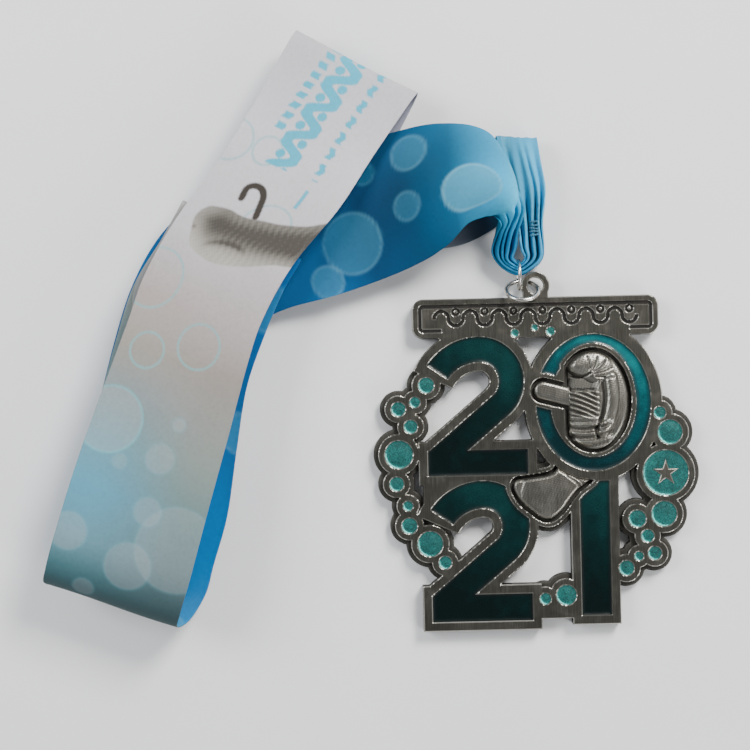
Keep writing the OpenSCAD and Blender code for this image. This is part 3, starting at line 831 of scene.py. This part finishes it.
# the neck ribbon: the middle line's x, y, z, the direction of its width and its half width as held
ribbonCut = {"halfWidth": 19.0, "thickness": 0.42, "folds": 4, "foldHigh": 1.75, "archHigh": 6.5,
             "columns": 96, "fineRow": 0.36, "plainRow": 0.8, "strandStart": 39.0, "strandEnd": 54.5}
ribbonRoute = [
    (-3.4, 52.85, 4.45, 90, 1.6), (-7, 55.3, 5, 15, 2.3), (-7.3, 58.5, 6, 8, 3.5),
    (-6.6, 63, 8.5, 16, 3.2), (-5.4, 68.5, 12, 45, 4.4), (-6.5, 74, 15, 72, 8),
    (-10.5, 77.5, 17.5, 83, 11), (-16.5, 78.3, 18.5, 88, 13), (-23, 77, 18, 96, 15),
    (-30, 74.5, 15.2, 101, 17), (-41, 70.5, 10.2, 104, 18.5), (-58, 65.2, 7.2, 106, 19),
    (-73, 61.5, 5.0, 110, 19), (-83, 57, 3.2, 118, 19), (-90.5, 49.5, 1.6, 129, 19),
    (-95.5, 39, 0.8, 142, 19), (-99, 26, 0.6, 153, 19), (-102.5, 12, 0.6, 160, 19),
    (-108, -6, 0.6, 160, 19), (-112, -19, 0.6, 160, 19), (-113.3, -23, 0.8, 160, 19),
    (-113.8, -24.6, 1.4, 160, 19), (-113.1, -22.6, 2, 160, 19), (-111.5, -18, 2.1, 160, 19),
    (-107, -4, 2.1, 161, 19), (-102, 13, 2.1, 160, 19), (-97.2, 29, 2.6, 158, 19),
    (-92, 43.2, 4.4, 156, 19), (-84.5, 56, 7.4, 154, 18), (-80, 63, 9, 153, 18),
    (-78.9, 65, 9.8, 153, 18), (-80, 62.8, 10.5, 153, 18), (-84.5, 55.5, 9.1, 154, 18),
    (-91.5, 42.6, 6, 156, 19), (-95, 27.5, 4, 160, 17), (-98.8, 9.9, 3.6, 161, 17.5),
    (-102.3, -7.8, 3.8, 163, 18), (-107.4, -21.3, 4, 164, 19), (-109.6, -29, 5.6, 164, 19),
    (-113.4, -34.9, 9.5, 163, 19), (-116.2, -35.6, 14.5, 161, 19), (-114.9, -31.5, 19.6, 161, 19),
    (-111.8, -22, 22, 161, 19), (-106, -3, 20.8, 161, 18.6), (-100.5, 14, 18.6, 161, 18),
    (-93.5, 35, 16.5, 161, 17), (-89, 47, 15.8, 160, 17), (-80.8, 61, 15.5, 158, 17),
    (-68, 77, 15, 155, 17.4), (-58.3, 92, 13.5, 152, 17.6), (-49, 106.5, 11.8, 152, 18.4),
    (-46.6, 110, 9, 152, 18.6), (-48, 107.5, 5.6, 152, 18.8), (-53, 99, 4.2, 149, 19),
    (-58.5, 90, 3.4, 141, 19), (-64.5, 80.5, 3.2, 122, 21), (-66.5, 77, 2, 114, 22.5),
    (-65, 75, 0.7, 108, 21), (-56, 74, 0.6, 97, 19), (-43, 74, 0.6, 96, 18), (-30, 75, 0.6, 94, 16.5),
    (-19, 75.5, 0.7, 96, 15), (-10, 78.5, 0.8, 104, 12.5), (-5.5, 82, 1.2, 128, 9),
    (-3.6, 86, 1.6, 158, 6.5), (-3.1, 89, 3.2, 174, 5.6), (-3, 87, 5.4, 180, 5.5),
    (-2, 81.7, 6, 182, 5.2), (-0.6, 73.7, 5.6, 187, 4.9), (-0.1, 65.3, 5, 185, 3.3),
    (0.4, 58.8, 4.8, 180, 3.2), (0.6, 56.2, 4.7, 165, 2.7), (-0.7, 54.2, 4.6, 125, 1.7),
]


def foldHeights(ratio):
    # how steep a wave has to be for its length to be a given number of times its chord
    steepness = np.linspace(0, 40, 400)
    turn = np.linspace(0, 2 * math.pi, 721)
    lengths = np.sqrt(1 + (steepness[:, None] * np.cos(turn)[None, :]) ** 2).mean(axis=1)
    return np.interp(ratio, lengths, steepness)


def ribbonLine():
    # the middle line in even steps, finer along the printed strand
    perStation = 40
    dense = throughPoints(ribbonRoute, perStation)
    station = np.arange(len(dense)) / perStation
    gaps = np.linalg.norm(np.roll(dense[:, :3], -1, axis=0) - dense[:, :3], axis=1)
    travel = np.r_[0, np.cumsum(gaps)]
    fine = (station >= ribbonCut["strandStart"]) & (station <= ribbonCut["strandEnd"])
    rows = np.cumsum(gaps / np.where(fine, ribbonCut["fineRow"], ribbonCut["plainRow"]))
    count = int(round(rows[-1]))
    wanted = np.linspace(0, rows[-1], count, endpoint=False)
    closedRows = np.r_[0, rows]
    closed = np.vstack([dense, dense[:1]])
    line = np.stack([np.interp(wanted, closedRows, closed[:, k]) for k in range(5)], axis=1)
    along = np.interp(wanted, closedRows, travel)
    stations = np.interp(wanted, closedRows, np.r_[station, station[-1] + 1 / perStation])
    return line, along, stations, travel[-1]


def ribbonLift(along, stations, half, across):
    # pleats where the strip is gathered, an arch in the band, and a slow ripple elsewhere
    folds = ribbonCut["folds"]
    ratio = ribbonCut["halfWidth"] / half
    gathered = ease(ratio, 3.2, 5.0)
    height = np.minimum(foldHeights(ratio) * half / (math.pi * folds) * gathered, ribbonCut["foldHigh"])
    v = across[None, :]
    s = along[:, None]
    drift = 0.06 * np.sin(s / 17 + 1) + 0.11 * np.sin(v * 2.7 + s / 11) + 0.03 * np.sin(v * 7 + s / 5)
    wave = np.sin(math.pi * folds * (v + drift)) * (1 + 0.25 * np.sin(v * 4.1 + s / 23))
    calm = 0.28 * np.sin(s / 19 + v * 1.4) + 0.12 * np.sin(s / 7.3 - v * 3.1)
    band = 1 - ease(along, 100, 135)
    sag = 2 * half * np.sqrt(0.375 * np.maximum(ratio - 1, 0)) * (1 - gathered) * band
    arch = np.minimum(sag, ribbonCut["archHigh"])[:, None] * (v ** 2 - 0.33)
    lift = height[:, None] * wave + arch + calm * (1 - gathered[:, None])
    fromRing = ease(stations, 0.0, 2.0) * ease(len(ribbonRoute) - stations, 0.0, 2.0)
    return lift * (0.45 + 0.55 * fromRing[:, None])


def ribbonSurface():
    line, along, stations, length = ribbonLine()
    across = np.linspace(-1, 1, ribbonCut["columns"] + 1)
    turn = np.radians(line[:, 3])
    side = np.stack([np.cos(turn), np.sin(turn), np.zeros(len(turn))], axis=1)
    ahead = np.roll(line[:, :3], -1, axis=0) - np.roll(line[:, :3], 1, axis=0)
    up = np.cross(ahead, side)
    up /= np.linalg.norm(up, axis=1)[:, None]
    half = line[:, 4]
    lift = ribbonLift(along, stations, half, across)
    reach = half[:, None] * across[None, :]
    middle = line[:, None, :3] + side[:, None, :] * reach[:, :, None] + up[:, None, :] * lift[:, :, None]
    return middle, along, stations, across, length


def ribbonLayers(middle):
    rowsAhead = np.roll(middle, -1, axis=0) - np.roll(middle, 1, axis=0)
    acrossStep = np.gradient(middle, axis=1)
    normal = np.cross(rowsAhead, acrossStep)
    normal /= np.maximum(np.linalg.norm(normal, axis=2), 1e-9)[:, :, None]
    edge = np.abs(np.linspace(-1, 1, middle.shape[1]))[None, :, None]
    selvedge = 1 + 0.35 * ease(edge, 0.965, 0.985) - 0.5 * ease(edge, 0.99, 1.0)
    half = ribbonCut["thickness"] / 2 * selvedge
    return middle + normal * half, middle - normal * half


def tint(code):
    # a hexadecimal colour as linear red, green and blue
    parts = [int(code[k:k + 2], 16) / 255 for k in (0, 2, 4)]
    return np.array([p / 12.92 if p < 0.04045 else ((p + 0.055) / 1.055) ** 2.4 for p in parts])


def gradient(value, stops):
    places = [stop[0] for stop in stops]
    colours = np.array([tint(stop[1]) for stop in stops])
    return np.stack([np.interp(value, places, colours[:, k]) for k in range(3)], axis=-1)


def painted(colour, mask, paint):
    return colour * (1 - mask[..., None]) + paint * mask[..., None]


# the printed side, as mm down from the top fold and mm across; its tones hold painted shading along with the
# print
whitePrintAndShade = {
    "left": [(-6, "a4a6ae"), (3, "bbbabf"), (16, "c4c3c9"), (30, "cac9cf"), (62, "c2bfc3"), (82, "a59b97"),
             (97, "928e87"), (112, "7c8c91"), (122, "64909d"), (136, "5492ab"), (150, "5d8895"),
             (158, "446b73"), (166, "2b464a")],
    "right": [(-6, "a4a6ae"), (3, "bdbcc2"), (16, "c6c5cb"), (30, "cbc9cf"), (62, "c1bcbf"), (82, "ada5a4"),
              (97, "908882"), (112, "858884"), (122, "7a8580"), (136, "647c7d"), (150, "566d70"),
              (158, "42595e"), (166, "2d4548")],
    "rings": [(35.6, 19.0, 5.8), (34.6, 8.3, 4.1), (54.4, -4.8, 6.9), (77.4, 16.2, 8.3), (96.5, 10.7, 4.9),
              (91.5, -3.6, 6.2), (117.0, 14.2, 9.0)],
    "discs": [(117.0, 14.2, 9.0, 0.35), (113.1, -4.8, 1.9, 0.3), (123.2, -2.4, 4.1, 0.3),
              (137.6, -3.2, 3.9, 0.25), (145.1, -13.5, 11.4, 0.25), (153.0, -2.0, 6.4, 0.25),
              (148.7, 15.8, 5.2, 0.3), (127.0, 8.0, 2.2, 0.2), (163.0, 8.0, 3.0, 0.2)],
    "discInk": "a9b3b8", "discLine": "5fa6b4", "ringInk": "6fb2b8", "discSoft": 0.4}
seaCowPrint = [(66.3, 11.1), (61.9, 13.5), (58.0, 14.6), (54.7, 13.1), (53.7, 10.3), (53.3, 6.7),
               (53.7, 4.0), (53.7, 1.2), (52.9, -2.8), (51.9, -8.3), (49.7, -14.6), (46.5, -21.0),
               (60.5, -21.0), (63.7, -13.9), (66.6, -7.5), (68.1, -2.4), (68.8, 2.8), (68.1, 6.7)]
armPrint = [(49.2, 6.5), (46.1, 7.0), (44.6, 5.4), (44.8, 3.2), (46.6, 1.4), (49.4, 0.4), (52.6, -0.6)]


def paintDiscs(colour, along, across, discs, look):
    for place, aside, radius, strength in discs:
        away = np.hypot(along - place, across - aside)
        body = (1 - ease(away, radius - look["discSoft"], radius + 0.3)) * strength
        line = (1 - ease(np.abs(away - radius), 0.1, 0.8)) * strength
        colour = painted(colour, body * 0.75, tint(look["discInk"]))
        colour = painted(colour, line * 0.4, tint(look["discLine"]))
    return colour


def paintWhite(down, across):
    lean = ease(across, -15, 15)[..., None]
    # painted shading: the strand's tones down and across hold shade as well as print
    colour = gradient(down, whitePrintAndShade["left"]) * lean + gradient(down, whitePrintAndShade["right"]) * (1 - lean)
    for place, aside, radius in whitePrintAndShade["rings"]:
        away = np.hypot(down - place, across - aside)
        line = 1 - ease(np.abs(away - radius), 0.12, 0.5)
        colour = painted(colour, line * 0.55, tint(whitePrintAndShade["ringInk"]))
    colour = paintDiscs(colour, down, across, whitePrintAndShade["discs"], whitePrintAndShade)
    return paintSeaCow(paintWaves(colour, down, across), down, across)


# three rows of plain teal shapes: small blocks, a wave with discs in its bends, and dashes
rowPrint = {"ink": "37aecb", "waveStart": 36.0, "waveLength": 9.2, "waveHigh": 2.6, "blockPitch": 3.3,
            "dashPitch": 5.2}


def repeat(value, pitch):
    return np.mod(value, pitch) - pitch / 2


def paintWaves(colour, down, across):
    small = across - 9.1 + (27.4 - down) * 0.1
    block = np.abs(small + 0.35 * np.sin(down * 1.7)) - 1.35
    row = np.maximum(block, np.abs(repeat(down + 1.2, rowPrint["blockPitch"])) - 0.95)
    row = np.maximum(row, down - 28.2)
    bold = across - 3.0 + (36 - down) * 0.085
    length = rowPrint["waveLength"]
    high = rowPrint["waveHigh"]
    turn = (down - rowPrint["waveStart"]) * 2 * math.pi / length
    steep = np.sqrt(1 + (high * 2 * math.pi / length * np.cos(turn)) ** 2)
    wave = np.abs(bold - high * np.sin(turn)) / steep - 1.5
    trough = np.hypot(repeat(down - rowPrint["waveStart"] + 0.75 * length, length), bold - 1.9)
    crest = np.hypot(repeat(down - rowPrint["waveStart"] + 0.25 * length, length), bold + 1.9)
    wave = np.minimum(wave, np.minimum(trough, crest) - 1.35)
    wave = np.maximum(wave, down - 37.5)
    dash = np.maximum(np.abs(across + 8.3) - 0.45, np.abs(down - 43.2) - 3.0)
    low = np.abs(across + 8.3 + 0.3 * np.sin(down * 2.3)) - 0.95
    low = np.maximum(low, np.abs(repeat(down + 0.6, rowPrint["dashPitch"])) - 1.75)
    low = np.maximum(low, down - 37.0)
    shape = np.minimum(np.minimum(row, wave), np.minimum(dash, low))
    ink = 1 - ease(shape, -0.14, 0.16)
    grain = 0.94 + 0.06 * np.sin(down * 7.1) * np.sin(across * 6.3)
    return painted(colour, ink * 0.94, tint(rowPrint["ink"]) * grain[..., None])


def paintSeaCow(colour, down, across):
    field = outlineField(down, across, throughPoints(seaCowPrint, 5))
    mask = 1 - ease(field, -0.35, 0.25)
    folds = np.sin(across * 3.4 + np.sin(down * 0.8) * 1.3) * ease(8 - across, 0, 6)
    tone = 0.28 + 0.5 * ease(down, 57, 68) - 0.28 * ease(-field, 0, 5) * (1 - ease(down, 60, 67))
    tone = tone + 0.05 * folds + 0.2 * ease(across, 7, 13)
    tone = tone + 0.06 * np.sin(down * 4.7 + across * 1.9) * np.sin(across * 5.3)
    crease = np.exp(-((down - 62.4 - 0.04 * across ** 2) / 0.9) ** 2)
    crease = crease * ease(9 - across, 0, 3) * ease(across, -6, -2)
    eye = np.exp(-np.hypot(down - 61.2, across - 13.1) ** 2 / 0.35)
    tone = np.clip(tone - 0.3 * crease - 0.4 * eye, 0.05, 1)
    fur = tint("3f3b37") * (1 - tone[..., None]) + tint("b9b5ab") * tone[..., None]
    colour = painted(colour, mask, fur)
    arm = strokeField(down, across, throughPoints(armPrint, 6, False))
    return painted(colour, 1 - ease(arm, 0.75, 1.15), tint("3d3833"))


# the other side, as mm along the loop and mm across; the band's brightest cyan tones are painted highlights
# and its darkest painted shade
bluePrintAndLight = {
    "band": [(0, "2a86b4"), (12, "1474a4"), (24, "3bb4dc"), (32, "2899c6"), (44, "0c5578"), (58, "073f62"),
             (72, "053a60"), (88, "0a5a90"), (110, "0d5c96"), (330, "0d5c98"), (398, "10679f"),
             (425, "2a9ad2"), (440, "2a9ad2"), (560, "10679f"), (574, "b4b6c6"), (640, "a6aabd"),
             (668, "0a4468"), (684, "0f5478"), (700, "45a9d2"), (716, "52b2d8"), (731, "2a86b4")],
    "discs": [(76.0, -7.1, 8.3, 0.3), (57.6, -3.2, 4.0, 0.28), (54.4, 11.5, 5.0, 0.3),
              (38.4, -5.5, 8.2, 0.95), (23.0, 11.0, 4.4, 0.8), (86.0, -15.0, 4.5, 0.35),
              (68.0, 10.0, 3.0, 0.2)],
    "discInk": "4f9fbd", "discLine": "7fc0d6", "discSoft": 0.3, "hiddenDiscs": 70}


def paintBlue(along, across):
    rng = np.random.default_rng(21)
    count = bluePrintAndLight["hiddenDiscs"]
    spots = zip(rng.uniform(105, 720, count), rng.uniform(-19, 19, count), rng.uniform(2, 7, count))
    discs = bluePrintAndLight["discs"] + [(*spot, 0.35) for spot in spots]
    # the band's tones: dye with painted highlights and painted shade
    colour = gradient(along, bluePrintAndLight["band"])
    colour = colour * (1 + 0.18 * np.sin(along / 13 + across / 6))[..., None]
    return paintDiscs(colour, along, across, discs, bluePrintAndLight)


def printedSatin(name):
    shader = Shader(name, {"Specular IOR Level": 0.12, "Sheen Weight": 0.02, "Sheen Roughness": 0.45})
    # the print attribute holds the printed colours together with painted shading and highlights
    ink = shader.stored("print", 0)
    warp = shader.add("Math", {"operation": "SINE"}, {0: shader.stored("acrossMm") * 15.7})
    weft = shader.add("Math", {"operation": "SINE"}, {0: shader.stored("alongMm") * 12.5})
    slub = shader.noise(shader.place(), 900, 4, 0.65)
    cloud = shader.noise(shader.place(), 60, 3)
    weave = warp * weft
    shade = (slub * 0.6 + cloud * 0.3 + weave * 0.06).clipped(0, 1)
    tones = shader.ramp(shade, [(0.2, (0.8, 0.8, 0.8)), (0.5, (0.95, 0.95, 0.95)), (0.8, (1, 1, 1))])
    settings = {"data_type": "RGBA", "blend_type": "MULTIPLY"}
    colour = shader.add("Mix", settings, {0: 1.0, 6: ink, 7: tones}, 2)
    rough = 0.5 + slub * 0.2 + weave * 0.05
    normal = shader.bump(weave * 0.5 + slub * 0.9, 0.3, 0.00012)
    return shader.finish({"Base Color": colour, "Roughness": rough, "Normal": normal})


def sewingThread(name):
    shader = Shader(name, {"Sheen Weight": 0.3})
    sockets = {0: shader.place(), "Scale": 900.0, "Distortion": 1.5}
    twist = shader.add("TexWave", {"bands_direction": "DIAGONAL"}, sockets)
    fuzz = shader.noise(shader.place(), 2600, 3)
    colour = shader.ramp(twist * 0.6 + fuzz * 0.4, [(0.2, (0.008, 0.07, 0.13)), (0.8, (0.03, 0.2, 0.33))])
    normal = shader.bump(twist + fuzz * 0.4, 0.6, 0.0001)
    return shader.finish({"Base Color": colour, "Roughness": 0.6 + fuzz * 0.2, "Normal": normal})


def buildRibbon():
    middle, along, stations, across, length = ribbonSurface()
    upper, lower = ribbonLayers(middle)
    rows, columns = middle.shape[:2]
    near = (stations > 50) & (stations < 53)
    crest = along[near][np.argmax(middle[near, columns // 2, 1])]
    s, w = np.meshgrid(along, across * ribbonCut["halfWidth"], indexing="ij")
    white = paintWhite(crest - s, w)
    hidden = gradient(s, [(212, "4b7f8b"), (250, "7d9291"), (300, "a9a39a"), (400, "486a6d")])
    white = painted(white, 1 - ease(s, 396, 412), hidden)
    blue = paintBlue(s, w)
    deep = 1 - ease(s, 120, 160) + ease(s, 650, 680)
    white = painted(white, deep, blue * 0.55)
    strip = ease(w, 13.0, 15.5) * ease(s, 250, 300) * (1 - ease(s, 412, 420))
    blue = painted(blue, strip * 0.9, gradient(s, [(310, "a9a39a"), (360, "84908c"), (405, "4b7f8b")]))
    loop = np.concatenate([upper, lower[:, ::-1]], axis=1)
    ring = 2 * columns
    index = np.arange(rows * ring).reshape(rows, ring)
    after = np.roll(index, -1, axis=0)
    beside = np.roll(index, -1, axis=1)
    corner = np.roll(after, -1, axis=1)
    faces = np.stack([index, after, corner, beside], axis=-1).reshape(-1, 4)
    # each side's colours: print with painted shading and highlights
    colours = np.concatenate([white, blue[:, ::-1]], axis=1).reshape(-1, 3)
    values = {"alongMm": np.concatenate([s, s], axis=1).ravel(),
              "acrossMm": np.concatenate([w, w[:, ::-1]], axis=1).ravel()}
    piece = addPiece("printedRibbon", loop.reshape(-1, 3), [tuple(face) for face in faces.tolist()],
                     printedSatin("printedSatin"), 70, values, {"print": colours})
    show(piece, "ribbon", ["neck_ribbon"])
    print("ribbon", rows, "rows,", round(length, 1), "mm round")
    return piece, length


stitches = {"start": (1.0, 62.0, 6.5), "pitch": 0.9, "count": 5, "length": 3.0, "thread": 0.25,
            "sides": 10, "steps": 15}


def buildStitches():
    points = []
    faces = []
    sides = stitches["sides"]
    steps = stitches["steps"]
    startX, startY, startZ = stitches["start"]
    for number in range(stitches["count"]):
        for step in range(steps):
            t = step / (steps - 1) * 2 - 1
            x = startX + t * stitches["length"] / 2
            y = startY + number * stitches["pitch"] + 0.12 * math.sin(t * 2 + number * 1.7)
            z = startZ + 0.3 - 0.55 * t ** 4
            size = stitches["thread"] * math.sqrt(max(1 - t ** 8, 0.02))
            start = len(points)
            for side in range(sides):
                a = 2 * math.pi * side / sides + t * 2
                points.append((x, y + size * math.cos(a), z + size * math.sin(a)))
            if step:
                before = start - sides
                for k in range(sides):
                    after = (k + 1) % sides
                    faces.append((before + k, before + after, start + after, start + k))
            if step in (0, steps - 1):
                cap = [start + k for k in range(sides)]
                faces.append(tuple(cap[::-1] if step == 0 else cap))
    piece = addPiece("barTack", points, faces, sewingThread("sewingThread"), 60)
    show(piece, "ribbon", ["ribbon_stitching"])
    print("bar-tack", stitches["count"], "stitches")
    return piece


ribbonPiece, ribbonLength = buildRibbon()
stitchPiece = buildStitches()
ribbonLength * mm


# stand, light and camera
studio = {"floorSize": 3.0, "keySize": 0.3, "keyPower": 11.0, "fillSize": 0.35, "fillPower": 4.0,
          "rimSize": 0.3, "rimShare": 0.6, "skyLight": 0.7, "centre": (-0.03, 0.03, 0.0),
          "skyStops": [(0.55, (0.95, 0.97, 1.0)), (0.93, (0.2, 0.205, 0.215))],
          "floorStops": [(0.3, (0.84, 0.84, 0.845)), (0.7, (0.88, 0.88, 0.88))]}
view = {"lens": 86.4, "sensor": 36, "nearest": 0.01, "spot": (-0.0436, 0.0246, 0.5), "roll": -0.0227}


def buildStage():
    half = studio["floorSize"] / 2
    corners = [(-half, -half, 0), (half, -half, 0), (half, half, 0), (-half, half, 0)]
    mesh = bpy.data.meshes.new("floor")
    mesh.from_pydata(corners, [], [(0, 1, 2, 3)])
    floor = bpy.data.objects.new("floor", mesh)
    bpy.context.collection.objects.link(floor)
    shader = Shader("paleFloor", {"Roughness": 0.9})
    cloud = shader.noise(shader.place(), 14, 3)
    mesh.materials.append(shader.finish({"Base Color": shader.ramp(cloud, studio["floorStops"])}))


def addLamp(name, spot, size, power, colour=(1, 1, 1)):
    lamp = bpy.data.lights.new(name, "AREA")
    lamp.size = size
    lamp.energy = power
    lamp.color = colour
    holder = bpy.data.objects.new(name, lamp)
    holder.location = spot
    aim = Vector(studio["centre"]) - Vector(spot)
    holder.rotation_euler = aim.to_track_quat("-Z", "Y").to_euler()
    bpy.context.collection.objects.link(holder)


def buildLight():
    fill = studio["fillPower"]
    addLamp("keyLamp", (0.35, 0.55, 0.6), studio["keySize"], studio["keyPower"], (1.0, 0.985, 0.96))
    addLamp("fillLamp", (-0.6, 0.25, 0.5), studio["fillSize"], fill, (0.95, 0.98, 1.0))
    addLamp("rimLamp", (0.5, -0.4, 0.35), studio["rimSize"], fill * studio["rimShare"])
    world = bpy.data.worlds.new("studioWorld")
    world.use_nodes = True
    sky = NodeTree(world.node_tree)
    height = sky.add("SeparateXYZ", {}, {0: sky.add("TexCoord", {}, {})}, 2)
    background = world.node_tree.nodes["Background"]
    sky.feed(background.inputs[0], sky.ramp(height, studio["skyStops"]))
    sky.feed(background.inputs[1], studio["skyLight"])
    bpy.context.scene.world = world


def buildCamera():
    camera = bpy.data.cameras.new("camera")
    camera.lens = view["lens"]
    camera.sensor_width = view["sensor"]
    camera.clip_start = view["nearest"]
    holder = bpy.data.objects.new("camera", camera)
    holder.location = view["spot"]
    holder.rotation_euler = (0, 0, view["roll"])
    bpy.context.collection.objects.link(holder)
    bpy.context.scene.camera = holder


buildStage()
buildLight()
buildCamera()
print("floor, lamps and camera done")
print("scene ready")
